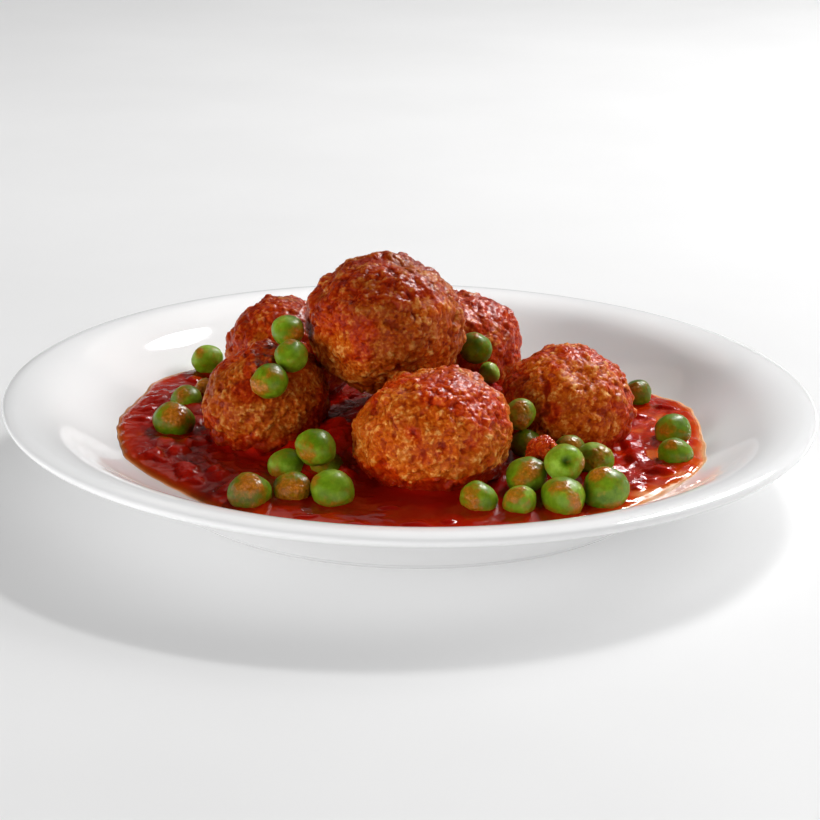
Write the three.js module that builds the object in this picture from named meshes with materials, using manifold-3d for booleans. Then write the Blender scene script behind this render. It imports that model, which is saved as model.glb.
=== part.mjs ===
// A round white plate of meatballs and green peas in thick tomato sauce.
// Millimetres, +Z up, origin on the table under the middle of the plate.

import * as THREE from 'three';
import Module from 'manifold-3d';
import { mergeVertices } from 'three/addons/utils/BufferGeometryUtils.js';
import { ImprovedNoise } from 'three/addons/math/ImprovedNoise.js';

const wasm = await Module();
wasm.setup();

const noise = new ImprovedNoise();
const GAP = 0.4; // clearance between pieces that touch
const POCKET_GAP = 0.5; // clearance round what stands in the sauce

// Plate: a wide shallow coupe with a rounded lip and a low foot ring.
const PLATE_RADIUS = 105;
const PLATE_SECTORS = 64;
const FOOT_RADIUS = 66.5;
const FOOT_FLAT_OUTER = 65.5;
const FOOT_FLAT_INNER = 60.5;
const FOOT_INNER = 59;
const FOOT_CHAMFER = 0.9;
const UNDERSIDE_Z = 1.2;
const FLOOR_Z = 4;
const FLOOR_RADIUS = 45; // the floor starts to rise here
const STEEPEST_RADIUS = 89.5; // and bends over towards the lip here
const LIP_RADIUS = 102.5;
const LIP_Z = 23.7;
const EDGE_RADIUS = 1.2; // half the thickness of the rounded edge
const EDGE_Z = 22.05;
const EDGE_TOP_ANGLE = 70; // degrees above the horizontal where the lip meets the edge
const FOOT_FLARE = { out: 6, up: 3.6 }; // how the underside leaves the foot
const LIP_FLARE = { in: 10, down: 1 }; // and how it arrives under the lip
const WALL_STEPS = 7;
const UNDER_STEPS = 5;
const EDGE_STEPS = 3;

// Tomato sauce: a pool with a mound that fills the middle, under the meatball on top.
const SAUCE_LEVEL = 11.2;
const SAUCE_RADIUS = 72;
const SAUCE_STRETCH = 4; // wider to the left and right than to the front and back
const SAUCE_LEAN = 1.5; // and a little further to the back than to the front
const SAUCE_EDGE = 0.5; // thickness at its outline
const SAUCE_RIPPLE = 0.8;
const SAUCE_RIPPLE_LENGTH = 13;
const SAUCE_SECTORS = 54;
const SAUCE_TOP_RINGS = [1, 0.96, 0.9, 0.82, 0.73, 0.63, 0.52, 0.4, 0.28, 0.15];
const SAUCE_BOTTOM_RINGS = [0.6, 0.8, 1];
// Places where the outline bulges (+) or draws back (-): [degrees, width, reach].
const SAUCE_LOBES = [
  [145, 16, 3.5],
  [-143, 13, -5],
  [17, 12, 2],
  [-20, 10, 2.5],
  [80, 18, 2],
];
// Mounds: [x, y, height above the level, spread].
const SAUCE_MOUNDS = [
  [-5, 5, 8.2, 13],
  [19, 14, 8.6, 8],
  [-18, -14, 4.5, 8],
  [35, -23, 2.2, 9],
  [-57, 18, 1.6, 8],
];

// Meatballs: middle x, y and half sizes across, deep and high. Those of the lower layer
// stand on the plate, and the last one lies on them. Each was rolled by hand, so it has
// bulges (+) and flats (-): [degrees round, degrees up, width in degrees, share of radius].
const MEATBALLS = [
  {
    name: 'meatball_front', x: 5.9, y: -29.5, across: 20.4, deep: 18, high: 17.2,
    bulges: [[150, 55, 32, -0.09], [60, 62, 11, 0.06], [-60, 0, 30, 0.02], [108, 32, 24, 0.13]],
  },
  {
    name: 'meatball_left', x: -37.4, y: -3.7, across: 17, deep: 17.6, high: 16.2,
    bulges: [[185, 48, 34, -0.13], [180, 0, 30, -0.03], [-10, 50, 24, 0.03]],
  },
  {
    name: 'meatball_back_left', x: -33.2, y: 33, across: 17, deep: 16.6, high: 16.8,
    bulges: [[180, 30, 30, 0.06], [0, 70, 30, -0.06]],
  },
  {
    name: 'meatball_back_right', x: 12.5, y: 35, across: 18.2, deep: 17.8, high: 18,
    bulges: [[20, 45, 25, 0.03], [150, 60, 40, -0.04], [-120, 30, 25, 0.16]],
  },
  {
    name: 'meatball_right', x: 40.9, y: -1.4, across: 17.8, deep: 18.4, high: 16,
    bulges: [[0, 45, 30, -0.07], [-100, 85, 18, 0.05]],
  },
  {
    name: 'meatball_top', x: -6.4, y: 2.5, across: 20.8, deep: 19.2, high: 18.9, z: 41.1,
    bulges: [[0, 48, 32, -0.1], [180, 10, 30, 0.03], [40, 85, 30, -0.03], [185, 48, 22, -0.06], [-10, -14, 16, 0.05]],
  },
];
const MEATBALL_DETAIL = 4;
// Relief of the minced meat: [how often it repeats round the ball, share of the radius].
const MEATBALL_RELIEF = [
  [1.3, 0.055],
  [2.9, 0.045],
  [6.1, 0.03],
];
const PATTERN_STEP = 7.3; // distance between two balls' patterns in the noise

// Peas: middle x, y, z and radius. The first rows are the heap at the front right, then
// the one at the front left, the three on the left meatball, the sides and the back.
const PEAS = [
  [16.9, -50.2, 12.2, 4.3],
  [26.8, -51.4, 12, 4.1],
  [37.4, -50.2, 13, 5.1],
  [47.9, -45.2, 13.2, 5.5],
  [28.8, -39.6, 14.3, 4.7],
  [38.2, -40.8, 18.4, 4.7],
  [46.6, -29.6, 15.6, 4.2],
  [40, -24.8, 16, 4.1],
  [29.9, -20.6, 16, 3.8],
  [27.6, -19.6, 23.6, 3.9],
  [-38.4, -48.4, 12.1, 5],
  [-28.3, -45.6, 12, 4.4],
  [-18.3, -48.2, 12.8, 5.2],
  [-30.4, -31.4, 12.9, 4.2],
  [-20.9, -29.8, 12.1, 4.3],
  [-23.2, -35.2, 19.2, 4.8],
  [-35.2, -21.6, 32, 4.4],
  [-30.3, -15, 36.6, 4.1],
  [-31.5, -5, 40.2, 4.1],
  [-61.7, -1.8, 14, 5],
  [-60, 17.4, 13.6, 4],
  [-55.4, 26.5, 13.2, 3.2],
  [-57.2, 46, 16, 4.2],
  [62.1, 27.9, 14.5, 3.8],
  [68.5, -3, 14, 4.6],
  [67.8, -19.7, 13.8, 4.2],
  [17.2, 13.5, 30.7, 4.4],
  [20.9, 15, 23.6, 2.8],
  [51.5, 32, 13.4, 4.6],
  [43.5, 41, 13.6, 4.3],
  [27, 53, 13.7, 4.8],
  [7, 61, 13.6, 4.5],
  [-11, 54, 13.5, 4.4],
  [-19.5, 60.5, 14, 4.7],
  [-45, 53.5, 14.6, 4.5],
];
const PEA_DETAIL = 1;
const PEA_SQUASH = [1.06, 1.03, 0.98];
const PEA_TILT = 0.4; // radians that a pea leans, each another way

// A soft piece of tomato that lies on the heap of peas.
const TOMATO = { x: 33.1, y: -32.2, z: 18.1, radius: 4 };
const TOMATO_RELIEF = [[1.7, 0.22]];

const MATERIALS = {
  plate: { color: 0xe9eae8, roughness: 0.18, metalness: 0 },
  sauce: { color: 0x7d1505, roughness: 0.28, metalness: 0 },
  meatball: { color: 0x9a4a1c, roughness: 0.6, metalness: 0 },
  pea: { color: 0x4f8a1c, roughness: 0.35, metalness: 0 },
  tomato: { color: 0x9c2c0d, roughness: 0.35, metalness: 0 },
};

// Height of the plate's upper surface: level, then a bend up, then a bend over to the lip.
function plateTop(radius) {
  const slope = (2 * (LIP_Z - FLOOR_Z)) / (LIP_RADIUS - FLOOR_RADIUS);
  const rising = THREE.MathUtils.clamp(radius, FLOOR_RADIUS, STEEPEST_RADIUS) - FLOOR_RADIUS;
  const bending = THREE.MathUtils.clamp(radius, STEEPEST_RADIUS, LIP_RADIUS) - STEEPEST_RADIUS;
  const rise = (slope * rising * rising) / (2 * (STEEPEST_RADIUS - FLOOR_RADIUS));
  const bend = slope * bending * (1 - bending / (2 * (LIP_RADIUS - STEEPEST_RADIUS)));
  return FLOOR_Z + rise + bend;
}

// A lathe turns round Y, so this swaps its axes: each height becomes exactly a z.
function standUp(lathe) {
  const places = lathe.attributes.position;
  for (let i = 0; i < places.count; i++) {
    places.setXYZ(i, places.getX(i), -places.getZ(i), places.getY(i));
  }
  return lathe;
}

function makePlate() {
  const edgeCentre = new THREE.Vector2(PLATE_RADIUS - EDGE_RADIUS, EDGE_Z);
  const outline = [
    new THREE.Vector2(0, UNDERSIDE_Z),
    new THREE.Vector2(FOOT_INNER, UNDERSIDE_Z),
    new THREE.Vector2(FOOT_FLAT_INNER, 0),
    new THREE.Vector2(FOOT_FLAT_OUTER, 0),
  ];
  const under = new THREE.CubicBezierCurve(
    new THREE.Vector2(FOOT_RADIUS, FOOT_CHAMFER),
    new THREE.Vector2(FOOT_RADIUS + FOOT_FLARE.out, FOOT_FLARE.up),
    new THREE.Vector2(edgeCentre.x - LIP_FLARE.in, EDGE_Z - EDGE_RADIUS - LIP_FLARE.down),
    new THREE.Vector2(edgeCentre.x, EDGE_Z - EDGE_RADIUS),
  );
  outline.push(...under.getPoints(UNDER_STEPS));
  for (let i = 1; i <= EDGE_STEPS; i++) {
    const turn = THREE.MathUtils.degToRad(-90 + ((90 + EDGE_TOP_ANGLE) * i) / EDGE_STEPS);
    const spoke = new THREE.Vector2(Math.cos(turn), Math.sin(turn)).multiplyScalar(EDGE_RADIUS);
    outline.push(spoke.add(edgeCentre));
  }
  for (let i = 0; i <= WALL_STEPS; i++) {
    const radius = THREE.MathUtils.lerp(LIP_RADIUS, FLOOR_RADIUS, i / WALL_STEPS);
    outline.push(new THREE.Vector2(radius, plateTop(radius)));
  }
  outline.push(new THREE.Vector2(0, FLOOR_Z));
  return standUp(new THREE.LatheGeometry(outline, PLATE_SECTORS));
}

// The radius that the sauce reaches in a direction given in radians.
function sauceReach(angle) {
  let reach = SAUCE_RADIUS + SAUCE_STRETCH * Math.cos(2 * angle) + SAUCE_LEAN * Math.sin(angle);
  for (const [middle, width, amount] of SAUCE_LOBES) {
    const turn = THREE.MathUtils.euclideanModulo(THREE.MathUtils.radToDeg(angle) - middle + 180, 360);
    reach += amount * Math.exp(-(((turn - 180) / width) ** 2));
  }
  return reach;
}

function sauceTop(x, y) {
  const radius = Math.hypot(x, y);
  const reach = sauceReach(Math.atan2(y, x));
  const rim = plateTop(reach) + GAP + SAUCE_EDGE;
  const share = Math.min(radius / reach, 1);
  let z = SAUCE_LEVEL + (rim - SAUCE_LEVEL) * share ** 6;
  for (const [mx, my, height, spread] of SAUCE_MOUNDS) {
    z += height * Math.exp(-((x - mx) ** 2 + (y - my) ** 2) / (2 * spread ** 2));
  }
  const ripple = noise.noise(x / SAUCE_RIPPLE_LENGTH, y / SAUCE_RIPPLE_LENGTH, 0.5);
  return z + SAUCE_RIPPLE * ripple * (1 - share ** 4);
}

// A lathe of unit radius whose points are moved out to the sauce's own reach and height.
function makeSauceBlank() {
  const upper = 1;
  const lower = 0;
  const profile = [new THREE.Vector2(0, lower)];
  for (const share of SAUCE_BOTTOM_RINGS) profile.push(new THREE.Vector2(share, lower));
  for (const share of SAUCE_TOP_RINGS) profile.push(new THREE.Vector2(share, upper));
  profile.push(new THREE.Vector2(0, upper));
  const geometry = standUp(new THREE.LatheGeometry(profile, SAUCE_SECTORS));
  const places = geometry.attributes.position;
  for (let i = 0; i < places.count; i++) {
    const angle = Math.atan2(places.getY(i), places.getX(i));
    const reach = sauceReach(angle);
    const x = places.getX(i) * reach;
    const y = places.getY(i) * reach;
    const onTop = places.getZ(i) === upper;
    places.setXYZ(i, x, y, onTop ? sauceTop(x, y) : plateTop(Math.hypot(x, y)) + GAP);
  }
  return geometry;
}

// The unit vector that points so many degrees round from +X and up from level.
function towards(round, up) {
  const azimuth = THREE.MathUtils.degToRad(round);
  const height = THREE.MathUtils.degToRad(up);
  const level = Math.cos(height);
  return new THREE.Vector3(level * Math.cos(azimuth), level * Math.sin(azimuth), Math.sin(height));
}

// A closed ball of triangles with its own bulges and, where relief is given, a lumpy
// surface; seed picks another pattern of lumps for each ball.
function makeBall(halfSizes, detail, { bulges = [], relief = [], seed = 0 } = {}) {
  const geometry = closed(new THREE.IcosahedronGeometry(1, detail));
  const places = geometry.attributes.position;
  const direction = new THREE.Vector3();
  for (let i = 0; i < places.count; i++) {
    direction.fromBufferAttribute(places, i).normalize();
    let length = 1;
    for (const [round, up, width, share] of bulges) {
      const away = THREE.MathUtils.radToDeg(direction.angleTo(towards(round, up)));
      length += share * Math.exp(-((away / width) ** 2));
    }
    for (const [often, share] of relief) {
      const d = direction.clone().multiplyScalar(often).addScalar(seed * PATTERN_STEP);
      length += share * noise.noise(d.x, d.y, d.z);
    }
    direction.multiplyScalar(length);
    places.setXYZ(i, direction.x, direction.y, direction.z);
  }
  return geometry.scale(...halfSizes);
}

// The same geometry with only positions left and its shared vertices merged.
function closed(geometry) {
  const plain = new THREE.BufferGeometry();
  plain.setAttribute('position', geometry.attributes.position.clone());
  if (geometry.index) plain.setIndex(geometry.index.clone());
  return mergeVertices(plain, 1e-4);
}

function toSolid(geometry) {
  const merged = closed(geometry);
  return new wasm.Manifold(new wasm.Mesh({
    numProp: 3,
    vertProperties: Float32Array.from(merged.attributes.position.array),
    triVerts: Uint32Array.from(merged.index.array),
  }));
}

function toGeometry(solid) {
  const mesh = solid.getMesh();
  const geometry = new THREE.BufferGeometry();
  geometry.setAttribute('position', new THREE.BufferAttribute(mesh.vertProperties, mesh.numProp));
  geometry.setIndex(new THREE.BufferAttribute(mesh.triVerts, 1));
  return geometry;
}

const model = new THREE.Group();

function addPiece(name, geometry, material, x = 0, y = 0, z = 0) {
  const mesh = new THREE.Mesh(geometry, new THREE.MeshStandardMaterial(MATERIALS[material]));
  mesh.name = name;
  mesh.position.set(x, y, z);
  model.add(mesh);
  return mesh;
}

addPiece('plate', makePlate(), 'plate');

const food = [];
MEATBALLS.forEach(({ name, x, y, z, across, deep, high, bulges }, i) => {
  const shape = { bulges, relief: MEATBALL_RELIEF, seed: i + 1 };
  const geometry = makeBall([across, deep, high], MEATBALL_DETAIL, shape);
  geometry.computeBoundingBox();
  const standing = FLOOR_Z + GAP - geometry.boundingBox.min.z;
  food.push(addPiece(name, geometry, 'meatball', x, y, z ?? standing));
});
PEAS.forEach(([x, y, z, radius], i) => {
  const halfSizes = PEA_SQUASH.map((stretch) => stretch * radius);
  const geometry = makeBall(halfSizes, PEA_DETAIL);
  const pea = addPiece(`pea_${String(i + 1).padStart(2, '0')}`, geometry, 'pea', x, y, z);
  pea.rotation.set(PEA_TILT * Math.sin(5 * i), PEA_TILT * Math.cos(3 * i), i);
  food.push(pea);
});
const tomatoSizes = [TOMATO.radius, TOMATO.radius, TOMATO.radius];
const tomato = makeBall(tomatoSizes, PEA_DETAIL, { relief: TOMATO_RELIEF, seed: 2 });
food.push(addPiece('tomato_piece', tomato, 'tomato', TOMATO.x, TOMATO.y, TOMATO.z));

// The sauce, with a pocket for each piece that stands in it.
let sauce = toSolid(makeSauceBlank());
for (const piece of food) {
  piece.geometry.computeBoundingSphere();
  const grow = 1 + POCKET_GAP / piece.geometry.boundingSphere.radius;
  piece.updateMatrixWorld();
  const pocket = piece.geometry.clone().scale(grow, grow, grow).applyMatrix4(piece.matrixWorld);
  sauce = sauce.subtract(toSolid(pocket));
}
addPiece('sauce', toGeometry(sauce), 'sauce');

export default model;
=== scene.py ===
"""A round white plate of meatballs and green peas in thick tomato sauce.

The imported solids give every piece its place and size, and this script dresses them. Lengths
are millimetres unless a comment says otherwise. Meshes are written in metres, +Z up.
"""
import functools
import itertools
import math

import bmesh
import bpy
import numpy as np
from mathutils import Matrix, Quaternion, Vector, noise
from mathutils.bvhtree import BVHTree


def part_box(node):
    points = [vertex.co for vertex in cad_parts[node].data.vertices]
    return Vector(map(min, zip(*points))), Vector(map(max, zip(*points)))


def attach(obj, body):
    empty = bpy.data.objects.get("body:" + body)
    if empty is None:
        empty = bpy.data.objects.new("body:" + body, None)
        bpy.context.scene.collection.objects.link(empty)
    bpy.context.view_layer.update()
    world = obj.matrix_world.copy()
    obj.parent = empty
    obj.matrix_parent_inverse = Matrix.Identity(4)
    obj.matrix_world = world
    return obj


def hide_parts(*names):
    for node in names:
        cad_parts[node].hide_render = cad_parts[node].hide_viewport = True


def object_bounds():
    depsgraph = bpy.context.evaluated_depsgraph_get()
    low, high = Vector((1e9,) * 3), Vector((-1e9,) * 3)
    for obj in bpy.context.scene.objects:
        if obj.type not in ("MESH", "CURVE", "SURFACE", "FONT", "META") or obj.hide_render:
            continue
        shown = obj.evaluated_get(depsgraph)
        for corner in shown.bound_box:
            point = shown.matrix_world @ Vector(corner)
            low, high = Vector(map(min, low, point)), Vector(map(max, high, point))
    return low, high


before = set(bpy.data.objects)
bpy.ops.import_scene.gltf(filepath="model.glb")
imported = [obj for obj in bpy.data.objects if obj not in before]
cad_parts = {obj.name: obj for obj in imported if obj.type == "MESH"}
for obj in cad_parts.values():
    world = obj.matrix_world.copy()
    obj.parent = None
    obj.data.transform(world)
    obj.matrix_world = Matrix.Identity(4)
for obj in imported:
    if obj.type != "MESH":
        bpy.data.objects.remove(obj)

CAD_BOX = [list(corner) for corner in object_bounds()]
MM = 0.001

# ---------------------------------------------------------------------------
# The view of the photograph
# ---------------------------------------------------------------------------
PHOTO_PIXELS = 820
FOCAL_PIXELS = 2296.48
SENSOR_WIDTH = 36.0
EYE = Vector((0, -569.69, 208.28)) * MM
AIM = Vector((0, 0, 20)) * MM
ROLL = math.radians(1.057)
RAISED_PIXELS = 8.35  # how far the aim lies above the middle of the picture
NEAREST_SHOWN = 10 * MM


def camera_axes():
    """Unit vectors to the right, up and towards the camera."""
    back = (EYE - AIM).normalized()
    level = Vector((0, 0, 1)).cross(back).normalized()
    lift = back.cross(level)
    right = math.cos(ROLL) * level + math.sin(ROLL) * lift
    up = math.cos(ROLL) * lift - math.sin(ROLL) * level
    return right, up, back


def make_camera():
    right, up, back = camera_axes()
    data = bpy.data.cameras.new("camera")
    data.sensor_width = SENSOR_WIDTH
    data.lens = SENSOR_WIDTH * FOCAL_PIXELS / PHOTO_PIXELS
    data.shift_y = -RAISED_PIXELS / PHOTO_PIXELS
    data.clip_start = NEAREST_SHOWN
    camera = bpy.data.objects.new("camera", data)
    bpy.context.collection.objects.link(camera)
    camera.matrix_world = Matrix.Translation(EYE) @ Matrix((right, up, back)).transposed().to_4x4()
    bpy.context.scene.camera = camera


def facing(right, up):
    """The direction from a ball's middle to a point on its side that faces the camera.

    right and up run from -1 to 1 across the ball's disc as the camera sees it.
    """
    axes = camera_axes()
    towards = math.sqrt(max(0.0, 1 - right * right - up * up))
    return (right * axes[0] + up * axes[1] + towards * axes[2]).normalized()


# ---------------------------------------------------------------------------
# Light and floor
# ---------------------------------------------------------------------------
def srgb(red, green, blue):
    """A colour given in 0 to 255 as a picture shows it, for a shader's socket."""
    shares = [value / 255 for value in (red, green, blue)]
    linear = [((s + 0.055) / 1.055) ** 2.4 if s > 0.04045 else s / 12.92 for s in shares]
    return (*linear, 1.0)


# Soft boxes: [name, degrees round from +X, degrees up, distance, width, height, degrees
# turned, watts], with lengths in metres. Those with a gloss colour only show as reflections,
# and the others only light.
SOFT_BOXES = [
    ["key", 57, 49, 1.1, 0.24, 0.085, 0, 6.5],
    ["front_left", -130, 14, 1.2, 0.7, 0.36, 0, 6.4],
    ["left_low", -160, 12, 1.2, 0.7, 0.36, 0, 4.0],
    ["right_front", -35, 22, 1.3, 0.7, 0.5, 0, 3.7],
    ["right_middle", 20, 35, 1.3, 0.7, 0.5, 0, 3.8],
    ["back_right", 40, 30, 1.3, 0.9, 0.5, 0, 9.2],
    ["glint", 51, 44, 1.1, 0.26, 0.54, 18, 11.0],
    ["sheen", 84, 46, 1.5, 1.4, 0.8, 0, 1.5],
]
GLOSS_COLOURS = {"glint": (1.0, 1.0, 1.0), "sheen": (1.0, 0.86, 0.78)}
WORLD_COLOUR = (0.97, 0.98, 1.0, 1.0)
WORLD_STRENGTH = 0.03
FLOOR_SIZE = 8.0  # metres
FLOOR_GLOW = 0.31


def make_lights():
    for name, around, up, distance, width, height, turn, watts in SOFT_BOXES:
        data = bpy.data.lights.new(name, "AREA")
        data.shape = "ELLIPSE"
        data.size = width
        data.size_y = height
        data.energy = watts
        data.color = GLOSS_COLOURS.get(name, (1.0, 1.0, 1.0))
        light = bpy.data.objects.new(name, data)
        bpy.context.collection.objects.link(light)
        a, e = math.radians(around), math.radians(up)
        away = Vector((math.cos(e) * math.cos(a), math.cos(e) * math.sin(a), math.sin(e)))
        light.location = AIM + away * distance
        turned = Quaternion((0, 0, 1), math.radians(turn))
        light.rotation_euler = (away.to_track_quat("Z", "Y") @ turned).to_euler()
        light.visible_camera = False
        light.visible_glossy = name in GLOSS_COLOURS
        light.visible_diffuse = name not in GLOSS_COLOURS
    world = bpy.data.worlds.new("studio")
    world.use_nodes = True
    background = world.node_tree.nodes["Background"]
    background.inputs["Color"].default_value = WORLD_COLOUR
    background.inputs["Strength"].default_value = WORLD_STRENGTH
    bpy.context.scene.world = world
    bpy.context.scene.view_settings.view_transform = "Standard"


def make_floor():
    mesh = bpy.data.meshes.new("floor")
    half = FLOOR_SIZE / 2
    corners = [(-half, -half, 0), (half, -half, 0), (half, half, 0), (-half, half, 0)]
    mesh.from_pydata(corners, [], [(0, 1, 2, 3)])
    floor = bpy.data.objects.new("floor", mesh)
    bpy.context.collection.objects.link(floor)
    look = Look("floor")
    mottle = look.noise(120.0, detail=3)
    greys = [(0.3, srgb(184, 184, 184)), (0.7, srgb(190, 190, 190))]
    look.set("Base Color", look.ramp(mottle, greys))
    look.set("Roughness", 0.6)
    look.set("Emission Color", srgb(255, 255, 255))
    look.set("Emission Strength", FLOOR_GLOW)
    mesh.materials.append(look.material)


# ---------------------------------------------------------------------------
# Materials
# ---------------------------------------------------------------------------
class Look:
    """One material. Each method adds a node and gives back its output."""

    def __init__(self, name):
        self.material = bpy.data.materials.new(name)
        self.material.use_nodes = True
        self.tree = self.material.node_tree
        self.shader = self.tree.nodes["Principled BSDF"]
        self.place = self.tree.nodes.new("ShaderNodeTexCoord").outputs["Object"]

    def plug(self, socket, value):
        if isinstance(value, bpy.types.NodeSocket):
            self.tree.links.new(value, socket)
        else:
            socket.default_value = value

    def set(self, socket, value):
        self.plug(self.shader.inputs[socket], value)

    def node(self, kind, inputs=(), **settings):
        node = self.tree.nodes.new("ShaderNode" + kind)
        for name, value in settings.items():
            setattr(node, name, value)
        for socket, value in dict(inputs).items():
            self.plug(node.inputs[socket], value)
        return node

    def noise(self, size, detail=2.0, roughness=0.5):
        """Smooth noise from 0 to 1 whose patches are about size mm."""
        inputs = {"Vector": self.place, "Scale": 1 / (size * MM)}
        inputs.update({"Detail": detail, "Roughness": roughness})
        return self.node("TexNoise", inputs).outputs["Fac"]

    def cells(self, size):
        """Distance to the nearest of the points strewn about size mm apart."""
        inputs = {"Vector": self.place, "Scale": 1 / (size * MM)}
        return self.node("TexVoronoi", inputs).outputs["Distance"]

    def attribute(self, name):
        return self.node("Attribute", attribute_name=name).outputs["Fac"]

    def math(self, operation, first, second):
        return self.node("Math", {0: first, 1: second}, operation=operation).outputs[0]

    def weighted(self, *parts):
        """The sum of values given with their weights, as (value, weight)."""
        products = [self.math("MULTIPLY", value, weight) for value, weight in parts]
        return functools.reduce(lambda first, second: self.math("ADD", first, second), products)

    def between(self, value, low, high, start=0.0, end=1.0):
        """value run smoothly from low..high to start..end, and held there outside."""
        inputs = {"Value": value, "From Min": low, "From Max": high}
        inputs.update({"To Min": start, "To Max": end})
        return self.node("MapRange", inputs, interpolation_type="SMOOTHSTEP").outputs["Result"]

    def ramp(self, factor, stops):
        node = self.node("ValToRGB", {"Fac": factor})
        elements = node.color_ramp.elements
        while len(elements) < len(stops):
            elements.new(1.0)
        for element, (position, colour) in zip(elements, stops):
            element.position = position
            element.color = colour
        return node.outputs["Color"]

    def mix(self, factor, first, second, blend="MIX"):
        node = self.tree.nodes.new("ShaderNodeMix")
        node.data_type = "RGBA"
        node.blend_type = blend
        sockets = {s.identifier: s for s in node.inputs}
        self.plug(sockets["Factor_Float"], factor)
        self.plug(sockets["A_Color"], first)
        self.plug(sockets["B_Color"], second)
        return next(s for s in node.outputs if s.identifier == "Result_Color")

    def bump(self, *layers):
        """Fine relief from [height, distance in mm] pairs, one on top of the other."""
        normal = None
        for height, distance in layers:
            inputs = {"Height": height, "Distance": distance * MM, "Strength": 1.0}
            if normal:
                inputs["Normal"] = normal
            normal = self.node("Bump", inputs).outputs["Normal"]
        self.set("Normal", normal)


def glazed_ceramic():
    """White glaze: faint unevenness in its tint and a barely wavy mirror surface."""
    look = Look("glazed_ceramic")
    tint = look.noise(60.0, detail=3)
    whites = [(0.35, srgb(246, 246, 246)), (0.65, srgb(250, 250, 250))]
    look.set("Base Color", look.ramp(tint, whites))
    speckle = look.noise(9.0, detail=2)
    look.set("Roughness", look.between(speckle, 0.3, 0.7, 0.035, 0.05))
    look.set("Specular IOR Level", 0.5)
    look.bump([look.noise(14.0, detail=1), 0.012])
    return look.material


def unglazed_ceramic():
    """The bare ring of the foot: a little darker, dry and sandy."""
    look = Look("unglazed_ceramic")
    grain = look.noise(0.6, detail=3)
    sandy = [(0.3, srgb(206, 200, 190)), (0.7, srgb(226, 221, 212))]
    look.set("Base Color", look.ramp(grain, sandy))
    look.set("Roughness", 0.75)
    look.bump([grain, 0.05])
    return look.material


def meatball_look():
    """Browned crumbs of minced meat, wet with sauce that lies as a film in patches, with painted
    light and shade on patches of the ball and in its low places.
    """
    look = Look("meatball")
    grain = look.attribute("grain")
    relief = look.attribute("relief")
    film = look.attribute("film")
    tone_and_painted_light = look.attribute("tone_and_painted_light")
    fine = look.noise(0.8, detail=4, roughness=0.65)
    # The colour is picked partly by height, so high crumbs are lighter and low places darker: the crumbs' own
    # colour, with painted light and shade from the relief.
    picked = look.weighted((grain, 0.4), (fine, 0.42), (relief, 0.3))
    crumb = look.ramp(picked, [
        (0.28, srgb(140, 40, 0)),
        (0.46, srgb(182, 68, 2)),
        (0.62, srgb(204, 94, 12)),
        (0.84, srgb(236, 162, 80)),
    ])
    browned = look.between(look.noise(8.0, detail=3), 0.42, 0.66, 0.0, 0.4)
    crumb = look.mix(browned, crumb, srgb(160, 70, 8))
    golden = look.between(look.noise(3.2, detail=3, roughness=0.6), 0.5, 0.7, 0.0, 0.6)
    crumb = look.mix(golden, crumb, look.ramp(picked, [
        (0.3, srgb(176, 84, 10)),
        (0.6, srgb(222, 138, 46)),
        (0.85, srgb(250, 206, 130)),
    ]))
    red = look.ramp(picked, [
        (0.28, srgb(138, 16, 0)),
        (0.48, srgb(176, 38, 0)),
        (0.66, srgb(202, 64, 6)),
        (0.86, srgb(236, 126, 54)),
    ])
    glaze = look.weighted((film, 1.0), (relief, -0.55))
    covered = look.mix(look.between(glaze, -0.15, 0.6, 0.0, 0.9), crumb, red)
    covered = look.mix(look.between(film, 1.0, 1.8, 0.0, 0.75), covered, srgb(142, 16, 0))
    # Low places between grains and in pits turn dark red: sauce that gathers there, with painted shade in the
    # crevices.
    wet = look.mix(look.between(relief, 0.0, 0.35, 0.5, 0.0), covered, srgb(124, 18, 0))
    # Painted shade: a darker copy of the colour, mixed in where tone is low. tone holds painted light and
    # shade on patches of the ball, and random tone.
    shaded = look.mix(1.0, wet, srgb(196, 188, 180), "MULTIPLY")
    look.set("Base Color", look.mix(tone_and_painted_light, shaded, wet))
    look.set("Roughness", look.between(film, 0.2, 0.9, 0.45, 0.3))
    look.set("Specular IOR Level", 0.22)
    look.set("Coat Weight", look.between(film, 0.2, 1.6, 0.1, 0.22))
    look.set("Coat Roughness", 0.14)
    look.set("Subsurface Weight", 0.1)
    look.set("Subsurface Radius", (1.0, 0.35, 0.12))
    look.set("Subsurface Scale", 1.0 * MM)
    look.bump([look.noise(0.4, detail=3, roughness=0.65), 0.12])
    return look.material


DEEPEST_SAUCE = 6.0  # the depth, in mm, at which its colour is the darkest


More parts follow.
